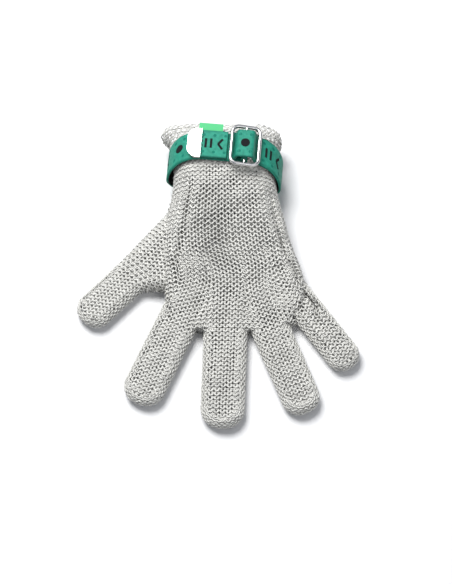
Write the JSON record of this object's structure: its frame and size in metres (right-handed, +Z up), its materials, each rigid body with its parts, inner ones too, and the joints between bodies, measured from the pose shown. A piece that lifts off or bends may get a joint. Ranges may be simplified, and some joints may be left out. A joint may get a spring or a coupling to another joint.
{
  "type": "chain mail glove",
  "caption": "Ring-mesh butcher's glove lying flat, five jointed digits, slit cuff closed by a webbing wrist strap with a steel slide buckle.",
  "frame": {"origin": "middle of the flat underside of the palm", "axes": "+Y from the fingertips to the cuff, +X away from the thumb, +Z up from the surface the glove lies on"},
  "size_m": [0.1802, 0.196, 0.0499],
  "materials": {
    "ring_mesh": "welded stainless rings, 4 mm across, tumbled bright",
    "gusset_mesh": "welded stainless rings, edge rows along the digits",
    "hem_mesh": "welded stainless rings, close-set edging",
    "strap_webbing": null,
    "polished_steel": "polished stainless steel"
  },
  "bodies": {
    "hand": {"back_panel": "ring_mesh", "cuff_hem_little_side": "hem_mesh", "cuff_hem_thumb_side": "hem_mesh", "cuff_hem_under": "hem_mesh", "palm_panel": "ring_mesh", "strap_bar_loop": "strap_webbing", "strap_bridge": "strap_webbing", "thumb_back_panel": "ring_mesh", "thumb_palm_panel": "ring_mesh", "wrist_flap_little_side": "ring_mesh", "wrist_flap_thumb_side": "ring_mesh", "wrist_strap": "strap_webbing", "wrist_under_panel": "ring_mesh"},
    "buckle": {"buckle_frame": "polished_steel", "buckle_crossbar": "polished_steel"},
    "strap_end": {"strap_tail": "strap_webbing", "strap_tip": "polished_steel"},
    "index_base": {"index_base_back": "ring_mesh", "index_base_gusset": "gusset_mesh", "index_base_palm": "ring_mesh"},
    "index_tip": {"index_tip_back": "ring_mesh", "index_tip_gusset": "gusset_mesh", "index_tip_palm": "ring_mesh"},
    "little_base": {"little_base_back": "ring_mesh", "little_base_gusset": "gusset_mesh", "little_base_palm": "ring_mesh"},
    "little_tip": {"little_tip_back": "ring_mesh", "little_tip_gusset": "gusset_mesh", "little_tip_palm": "ring_mesh"},
    "middle_base": {"middle_base_back": "ring_mesh", "middle_base_gusset": "gusset_mesh", "middle_base_palm": "ring_mesh"},
    "middle_tip": {"middle_tip_back": "ring_mesh", "middle_tip_gusset": "gusset_mesh", "middle_tip_palm": "ring_mesh"},
    "ring_base": {"ring_base_back": "ring_mesh", "ring_base_gusset": "gusset_mesh", "ring_base_palm": "ring_mesh"},
    "ring_tip": {"ring_tip_back": "ring_mesh", "ring_tip_gusset": "gusset_mesh", "ring_tip_palm": "ring_mesh"},
    "thumb_base": {"thumb_base_back": "ring_mesh", "thumb_base_gusset": "gusset_mesh", "thumb_base_palm": "ring_mesh"},
    "thumb_tip": {"thumb_tip_back": "ring_mesh", "thumb_tip_gusset": "gusset_mesh", "thumb_tip_palm": "ring_mesh"}
  },
  "joints": [
    {"name": "thumb_knuckle", "type": "hinge", "parent": "hand", "child": "thumb_base", "pos_m": [-0.0606, -0.0096, 0.00625], "axis": [-0.7108, 0.7034, 0], "range_deg": [0, 45]},
    {"name": "thumb_middle_joint", "type": "hinge", "parent": "thumb_base", "child": "thumb_tip", "pos_m": [-0.07396, -0.02311, 0.00625], "axis": [-0.7108, 0.7034, 0], "range_deg": [0, 50]},
    {"name": "index_knuckle", "type": "hinge", "parent": "hand", "child": "index_base", "pos_m": [-0.0321, -0.0467, 0.00625], "axis": [-0.9078, 0.4194, 0], "range_deg": [0, 45]},
    {"name": "index_middle_joint", "type": "hinge", "parent": "index_base", "child": "index_tip", "pos_m": [-0.04217, -0.06849, 0.00625], "axis": [-0.9078, 0.4194, 0], "range_deg": [0, 50]},
    {"name": "middle_knuckle", "type": "hinge", "parent": "hand", "child": "middle_base", "pos_m": [0.0019, -0.056, 0.00625], "axis": [-0.9994, 0.0349, 0], "range_deg": [0, 45]},
    {"name": "middle_middle_joint", "type": "hinge", "parent": "middle_base", "child": "middle_tip", "pos_m": [0.00099, -0.08198, 0.00625], "axis": [-0.9994, 0.0349, 0], "range_deg": [0, 50]},
    {"name": "ring_knuckle", "type": "hinge", "parent": "hand", "child": "ring_base", "pos_m": [0.0343, -0.0517, 0.00625], "axis": [-0.9278, -0.373, 0], "range_deg": [0, 45]},
    {"name": "ring_middle_joint", "type": "hinge", "parent": "ring_base", "child": "ring_tip", "pos_m": [0.04362, -0.0749, 0.00625], "axis": [-0.9278, -0.373, 0], "range_deg": [0, 50]},
    {"name": "little_knuckle", "type": "hinge", "parent": "hand", "child": "little_base", "pos_m": [0.059, -0.0368, 0.00625], "axis": [-0.808, -0.5892, 0], "range_deg": [0, 45]},
    {"name": "little_middle_joint", "type": "hinge", "parent": "little_base", "child": "little_tip", "pos_m": [0.07019, -0.05215, 0.00625], "axis": [-0.808, -0.5892, 0], "range_deg": [0, 50]},
    {"name": "buckle_rock", "type": "hinge", "parent": "hand", "child": "buckle", "pos_m": [0.01497, 0.06722, 0.0457], "axis": [0.0872, 0.9962, 0], "range_deg": [0, 5]},
    {"name": "strap_end_lift", "type": "hinge", "parent": "hand", "child": "strap_end", "pos_m": [0.00291, 0.06828, 0.0438], "axis": [0.0872, 0.9962, 0], "range_deg": [0, 50]}
  ]
}
